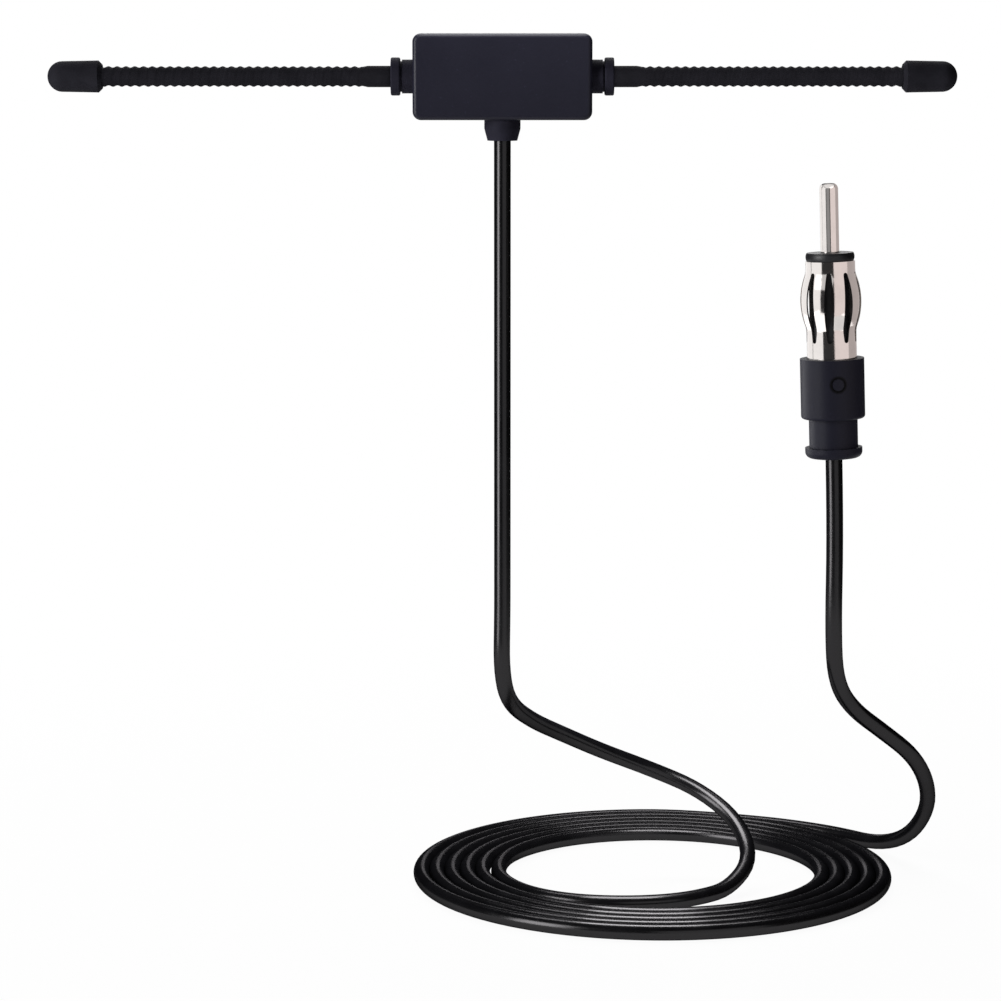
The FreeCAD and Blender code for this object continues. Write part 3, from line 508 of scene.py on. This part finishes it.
def build_sheath(name, arms, half_turn):
    """One ribbed sheath as a closed tube whose round section winds about the axis."""
    stations = sheath_stations(arms)
    bm = bmesh.new()
    ring = first_ring(bm, stations[0][1], stations[0][0], arms.segments)
    start = ring
    for (centre, radius), (following, grown) in zip(stations, stations[1:]):
        ring = next_ring(bm, ring, following - centre, grown / radius)
    bmesh.ops.bridge_loops(bm, edges=start + ring)
    if half_turn:
        pivot = Vector((0.0, ARM_AXIS_Y, 0.0))
        bmesh.ops.rotate(bm, cent=pivot, matrix=Matrix.Rotation(math.pi, 3, "Z"), verts=bm.verts)
    bmesh.ops.recalc_face_normals(bm, faces=bm.faces)
    for face in bm.faces:
        face.smooth = True
    for edge in bm.edges:
        edge.smooth = edge.calc_face_angle(0.0) < SHARP_TURN
    mesh = bpy.data.meshes.new(name)
    bm.to_mesh(mesh)
    bm.free()
    return new_object(name, mesh)


def coil_points(lead):
    """Points of the flat coil between the two routes, wound clockwise from the inside out."""
    centre = Vector((*lead.coil_centre, FLAT * MM))
    first = Vector(DOWN_ROUTE[-1]) * MM - centre
    last = Vector(RISE_ROUTE[0]) * MM - centre
    start = math.atan2(first.y, first.x)
    part_turn = (start - math.atan2(last.y, last.x)) / (2 * math.pi) % 1.0
    turns = lead.full_turns + part_turn
    outside = 1 / math.cos(math.pi / lead.points_per_turn)
    points = []
    for count in range(1, int(turns * lead.points_per_turn)):
        done = count / lead.points_per_turn
        angle = start - 2 * math.pi * done
        radius = outside * (first.length + (last.length - first.length) * done / turns)
        points.append(centre + Vector((radius * math.cos(angle), radius * math.sin(angle), 0.0)))
    return points


class ANTENNA_OT_housing(bpy.types.Operator):
    """Finishes the housing halves, their glands and the adhesive pad"""

    bl_idname = "antenna.housing"
    bl_label = "Finish housing"

    def execute(self, context):
        finish = context.scene.antenna_finish
        plastic = moulded_plastic("housing_plastic", finish.housing, roughness=0.42, shine=0.2)
        dress(plastic, "front_cover", "rear_cover")
        rubber = soft_rubber("gland_rubber", finish.gland)
        dress(rubber, "left_arm_gland", "right_arm_gland", "cable_gland")
        dress(foam_tape("foam_tape", finish.foam), "adhesive_pad")
        return {"FINISHED"}


class ANTENNA_OT_arms(bpy.types.Operator):
    """Builds the two ribbed sheaths and finishes the end caps"""

    bl_idname = "antenna.arms"
    bl_label = "Build arms"

    def execute(self, context):
        arms = context.scene.antenna_arms
        finish = context.scene.antenna_finish
        rubber = soft_rubber("arm_rubber", finish.arm, roughness=0.7, shine=0.02)
        for side, half_turn in (("left", True), ("right", False)):
            sheath = build_sheath(f"{side}_ribbed_sheath", arms, half_turn)
            sheath.data.materials.append(rubber)
            settle(sheath, "arm_rubber", f"{side}_arm_sheath")
        caps = soft_rubber("cap_rubber", finish.cap, roughness=0.7, shine=0.02)
        dress(caps, "left_end_cap", "right_end_cap")
        wire = plain_metal("conductor_metal", finish.conductor, roughness=0.35)
        dress(wire, "left_arm_conductor", "right_arm_conductor")
        return {"FINISHED"}


class ANTENNA_OT_lead(bpy.types.Operator):
    """Lays the coaxial lead from the housing through its coil to the plug"""

    bl_idname = "antenna.lead"
    bl_label = "Lay lead"

    def execute(self, context):
        lead = context.scene.antenna_lead
        finish = context.scene.antenna_finish
        route = [Vector(point) * MM for point in DOWN_ROUTE]
        route += coil_points(lead)
        route += [Vector(point) * MM for point in RISE_ROUTE]
        curve = bpy.data.curves.new("coaxial_lead", "CURVE")
        curve.dimensions = "3D"
        curve.bevel_depth = CABLE_DIAMETER / 2
        curve.bevel_resolution = lead.roundness
        curve.resolution_u = lead.steps_per_point
        curve.use_fill_caps = True
        spline = curve.splines.new("NURBS")
        spline.points.add(len(route) - 1)
        for point, spot in zip(spline.points, route):
            point.co = (*spot, 1.0)
        spline.order_u = 3
        spline.use_endpoint_u = True
        jacket = lead_jacket("lead_jacket", finish.jacket)
        curve.materials.append(jacket)
        cable = new_object("coaxial_lead", curve)
        settle(cable, "cable_jacket", "downlead_cable", "cable_coil", "plug_lead_cable")
        dress(jacket, "cable_tail", "plug_cable_tail")
        return {"FINISHED"}


class ANTENNA_OT_plug(bpy.types.Operator):
    """Finishes the aerial plug"""

    bl_idname = "antenna.plug"
    bl_label = "Finish plug"

    def execute(self, context):
        finish = context.scene.antenna_finish
        ring = context.scene.antenna_plug
        grip = moulded_plastic("boot_plastic", finish.boot, roughness=0.45, shine=0.06, sunk_ring=ring)
        dress(grip, "plug_boot")
        dress(polished_nickel("nickel_plate", finish.nickel), *METAL)
        disc = moulded_plastic("insulator_plastic", finish.insulator, roughness=0.45, shine=0.35)
        dress(disc, "plug_insulator")
        brass = plain_metal("tinned_brass", finish.brass, roughness=0.3)
        dress(brass, "plug_ferrule", "left_solder_lug", "right_solder_lug")
        return {"FINISHED"}


class ANTENNA_OT_inside(bpy.types.Operator):
    """Finishes the circuit inside the housing"""

    bl_idname = "antenna.inside"
    bl_label = "Finish circuit"

    def execute(self, context):
        finish = context.scene.antenna_finish
        board = moulded_plastic("board_laminate", finish.laminate, roughness=0.35, shine=0.5)
        dress(board, "circuit_board")
        dress(soft_rubber("ferrite", finish.ferrite, roughness=0.6, shine=0.4), "balun_core")
        copper = plain_metal("copper_wire", finish.copper, roughness=0.3)
        dress(copper, "balun_winding", "core_wire", "braid_pigtail")
        chips = moulded_plastic("chip_ceramic", finish.ceramic, roughness=0.4, shine=0.5)
        dress(chips, "chip_capacitors")
        return {"FINISHED"}


def pale_floor(stage):
    """Floor that is white to the eye and to polished metal, and keeps a trace of shadow near the coil."""
    material, shader = new_material("pale_floor")
    seen = shader.add("ShaderNodeLightPath", output="Is Camera Ray")
    for ray in ("Is Glossy Ray", "Is Transmission Ray"):
        seen = seen.at_least(shader.add("ShaderNodeLightPath", output=ray))
    away = shader.distance(COIL_MIDDLE.to_tuple())
    near = shader.spread(away, low=stage.shadow_reach, high=stage.shadow_reach / 2)
    cloud = shader.noise(per_metre=3.0, detail=1.0)
    matt = shader.add("ShaderNodeBsdfDiffuse", sockets={
        "Color": shader.blend(cloud, (0.9, 0.9, 0.9, 1.0), (0.93, 0.93, 0.93, 1.0)),
    })
    white = shader.add("ShaderNodeEmission", sockets={"Color": (1.0, 1.0, 1.0, 1.0), "Strength": 1.0})
    share = seen * (1 - stage.shadow_share * near)
    shader.finish(shader.add("ShaderNodeMixShader", sockets={0: share, 1: matt, 2: white}))
    return material


def studio_world():
    """Dim studio with a white wall behind the part; the camera sees plain white all round."""
    world = bpy.data.worlds.new("studio")
    world.use_nodes = True
    shader = Shader(world.node_tree)
    toward = shader.add("ShaderNodeTexCoord", output="Generated")
    across = shader.add("ShaderNodeSeparateXYZ", sockets={"Vector": toward}, output="X")
    ahead = shader.add("ShaderNodeSeparateXYZ", sockets={"Vector": toward}, output="Y")
    side = shader.spread(across, low=-0.7, high=0.7)
    around = shader.blend(side, (0.04, 0.04, 0.042, 1.0), (0.04, 0.037, 0.036, 1.0))
    wall = shader.spread(ahead, low=0.975, high=0.985)
    room = shader.blend(wall, around, (1.0, 1.0, 1.0, 1.0))
    light = shader.add("ShaderNodeBackground", sockets={"Color": room, "Strength": 1.0})
    white = shader.add("ShaderNodeBackground", sockets={"Color": (1.0, 1.0, 1.0, 1.0), "Strength": 1.0})
    camera_ray = shader.add("ShaderNodeLightPath", output="Is Camera Ray")
    backdrop = shader.add("ShaderNodeMixShader", sockets={0: camera_ray, 1: light, 2: white})
    shader.finish(backdrop, "ShaderNodeOutputWorld")
    return world


def add_panel_light(name, place, target, size, brightness, colour=NEUTRAL, only=(), spared=()):
    """A rectangular lamp that looks at a point, unseen by the camera; it lights or spares some pieces."""
    lamp = bpy.data.lights.new(name, "AREA")
    lamp.shape = "RECTANGLE"
    lamp.size, lamp.size_y = size
    lamp.energy = brightness * math.pi * size[0] * size[1]
    lamp.color = colour
    stand = new_object(name, lamp)
    stand.location = place
    stand.rotation_euler = (Vector(target) - Vector(place)).to_track_quat("-Z", "Y").to_euler()
    stand.visible_camera = False
    reach = bpy.data.collections.new(name + "_reach")
    for piece in (*only, *spared):
        reach.objects.link(bpy.data.objects[piece])
    for entry in reach.collection_objects:
        entry.light_linking.link_state = "INCLUDE" if only else "EXCLUDE"
    stand.light_linking.receiver_collection = reach


def add_floor(stage):
    """A square of floor under the coil."""
    bm = bmesh.new()
    bmesh.ops.create_grid(bm, x_segments=1, y_segments=1, size=stage.floor_size / 2)
    under_coil = Vector((COIL_MIDDLE.x, COIL_MIDDLE.y, COIL_LOW.z))
    bmesh.ops.translate(bm, vec=under_coil, verts=bm.verts)
    mesh = bpy.data.meshes.new("floor")
    bm.to_mesh(mesh)
    bm.free()
    mesh.materials.append(pale_floor(stage))
    new_object("floor", mesh)


def light_room(stage):
    """Large soft panels round the part. The plug's metal has cards of its own."""
    add_panel_light(
        "back_panel", place=(0.0, 0.4, 0.6), target=ROOM_MIDDLE, size=(0.6, 0.16),
        brightness=stage.back_light, spared=METAL,
    )
    add_panel_light(
        "arm_panel", place=(0.0, -0.9, 0.15), target=ROOM_MIDDLE, size=(0.9, 0.5),
        brightness=stage.arm_light, only=SHEATHS,
    )
    add_panel_light(
        "left_panel", place=(-0.78, -0.5, 0.05), target=ROOM_MIDDLE, size=(0.45, 0.8),
        brightness=stage.left_light, spared=(*METAL, *SHEATHS),
    )
    add_panel_light(
        "right_panel", place=(0.42, -0.8, 0.05), target=ROOM_MIDDLE, size=(0.9, 0.7),
        brightness=stage.right_light, spared=METAL,
    )
    add_panel_light(
        "rear_panel", place=(0.0, 0.75, 0.45), target=ROOM_MIDDLE, size=(0.8, 0.4),
        brightness=stage.rear_light, spared=(*METAL, "coaxial_lead"),
    )


def light_housing(stage):
    """A strip just over the housing that draws a bright line along its front edge."""
    front_edge = Vector((0.0, HOUSING_LOW.y, HOUSING_HIGH.z))
    just_over = front_edge + Vector((0.0, -0.004, 0.03))
    add_panel_light(
        "housing_strip", place=just_over, target=front_edge,
        size=(0.05, 0.03), brightness=stage.strip_light, only=("front_cover", "rear_cover"),
    )


def light_coil(stage):
    """Two cards that put a sheen on the coil's turns: one overhead, one low behind."""
    overhead = Vector((COIL_MIDDLE.x - 0.005, COIL_LOW.y + 0.035, COIL_HIGH.z + 0.07))
    add_panel_light(
        "coil_card", place=overhead, target=overhead - Vector((0.0, 0.0, 1.0)), size=(0.05, 0.03),
        brightness=stage.coil_light, only=("coaxial_lead",),
    )
    low_behind = Vector((COIL_MIDDLE.x, 0.62, COIL_LOW.z + 0.14))
    add_panel_light(
        "low_card", place=low_behind, target=COIL_MIDDLE, size=(0.12, 0.06),
        brightness=stage.low_light, only=("coaxial_lead",),
    )


def light_plug(stage):
    """Cards round the plug for its metal to mirror, each at a bearing from the front and a tilt."""
    for name, bearing, tilt, away, size, share, colour, lit in (
        ("left_card", -105.0, 0.0, 0.2, (0.69, 0.4), 1.12, NEUTRAL, METAL),
        ("right_card", 45.0, 0.0, 0.3, (0.42, 0.7), 0.93, WARM, (*METAL, "plug_boot")),
        ("far_card", 122.0, 0.0, 0.2, (0.36, 0.4), 0.5, WARM, METAL),
        ("pin_card", -18.0, 0.0, 0.5, (0.35, 0.4), 0.3, NEUTRAL, ("plug_pin",)),
        ("grip_card", -112.0, 0.0, 0.3, (0.35, 0.4), 4.0, NEUTRAL, ("plug_boot",)),
        ("over_card", -36.87, 45.0, 0.12, (0.17, 0.12), 0.7, NEUTRAL, ("plug_sleeve",)),
        ("under_card", -36.87, -45.0, 0.12, (0.17, 0.12), 0.7, NEUTRAL, ("plug_sleeve",)),
        ("top_card", 0.0, 78.69, 0.255, (0.5, 0.7), 1.0, NEUTRAL, ("plug_pin",)),
    ):
        turn = math.radians(bearing)
        rise = math.radians(tilt)
        level = Vector((math.sin(turn), -math.cos(turn), 0.0))
        way = math.cos(rise) * level + Vector((0.0, 0.0, math.sin(rise)))
        add_panel_light(
            name, place=SLEEVE_MIDDLE + away * way, target=SLEEVE_MIDDLE, size=size,
            brightness=share * stage.card_light, colour=colour, only=lit,
        )


def add_camera(stage):
    """The camera, level from side to side and looking a little down."""
    camera = bpy.data.cameras.new("camera")
    camera.lens = stage.lens
    camera.sensor_width = 36.0
    camera.sensor_fit = "HORIZONTAL"
    camera.clip_end = 100.0
    viewer = new_object("camera", camera)
    viewer.location = stage.camera_place
    viewer.rotation_euler = (math.pi / 2 - stage.camera_dip, 0.0, 0.0)
    return viewer


class ANTENNA_OT_stage(bpy.types.Operator):
    """Sets the floor, the lights and the camera"""

    bl_idname = "antenna.stage"
    bl_label = "Set stage"

    def execute(self, context):
        stage = context.scene.antenna_stage
        add_floor(stage)
        context.scene.world = studio_world()
        light_room(stage)
        light_housing(stage)
        light_coil(stage)
        light_plug(stage)
        context.scene.camera = add_camera(stage)
        context.scene.view_settings.view_transform = "Standard"
        return {"FINISHED"}


class ANTENNA_PT_looks(bpy.types.Panel):
    """Sidebar panel that lists the steps"""

    bl_idname = "ANTENNA_PT_looks"
    bl_label = "Antenna"
    bl_space_type = "VIEW_3D"
    bl_region_type = "UI"
    bl_category = "Antenna"

    def draw(self, context):
        for operator in OPERATORS:
            self.layout.operator(operator.bl_idname)


OPERATORS = (
    ANTENNA_OT_housing,
    ANTENNA_OT_arms,
    ANTENNA_OT_lead,
    ANTENNA_OT_plug,
    ANTENNA_OT_inside,
    ANTENNA_OT_stage,
)
SETTINGS = {
    "antenna_lead": AntennaLeadSettings,
    "antenna_arms": AntennaArmSettings,
    "antenna_plug": AntennaPlugSettings,
    "antenna_finish": AntennaFinishSettings,
    "antenna_stage": AntennaStageSettings,
}


def register():
    """Registers the settings, the operators and the panel."""
    for name, settings in SETTINGS.items():
        bpy.utils.register_class(settings)
        setattr(bpy.types.Scene, name, PointerProperty(type=settings))
    for operator in OPERATORS:
        bpy.utils.register_class(operator)
    bpy.utils.register_class(ANTENNA_PT_looks)


def unregister():
    """Takes away what register added."""
    bpy.utils.unregister_class(ANTENNA_PT_looks)
    for operator in reversed(OPERATORS):
        bpy.utils.unregister_class(operator)
    for name, settings in SETTINGS.items():
        delattr(bpy.types.Scene, name)
        bpy.utils.unregister_class(settings)


def main():
    """Builds the looks step by step."""
    register()
    bpy.ops.antenna.housing()
    bpy.ops.antenna.arms()
    bpy.ops.antenna.lead()
    bpy.ops.antenna.plug()
    bpy.ops.antenna.inside()
    bpy.ops.antenna.stage()


if __name__ == "__main__":
    main()
